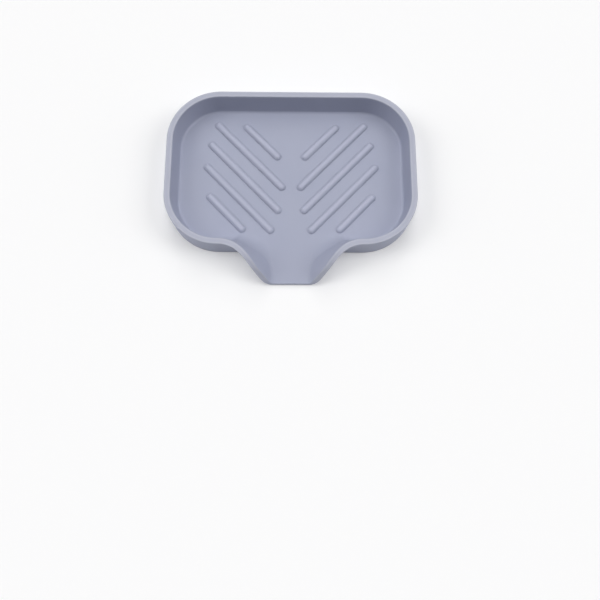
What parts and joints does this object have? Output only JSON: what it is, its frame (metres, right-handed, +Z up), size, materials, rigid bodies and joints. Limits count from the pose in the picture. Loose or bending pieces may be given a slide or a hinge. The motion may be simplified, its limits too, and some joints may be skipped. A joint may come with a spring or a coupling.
{
  "type": "soap dish",
  "caption": "Silicone soap dish: a shallow rounded tray with raised diagonal ribs under the soap and a sloping floor that drains over an open spout.",
  "frame": {"origin": "middle of the flat underside, below the middle of the whole outline", "axes": "+X along the dish, -Y towards the tip of the drain spout, +Z up from the underside"},
  "size_m": [0.13, 0.103, 0.015],
  "materials": {
    "silicone": "matt moulded silicone"
  },
  "bodies": {
    "root": {"tray": "silicone", "rib_left_1": "silicone", "rib_left_2": "silicone", "rib_left_3": "silicone", "rib_left_4": "silicone", "rib_left_5": "silicone", "rib_right_1": "silicone", "rib_right_2": "silicone", "rib_right_3": "silicone", "rib_right_4": "silicone", "rib_right_5": "silicone"}
  },
  "joints": []
}
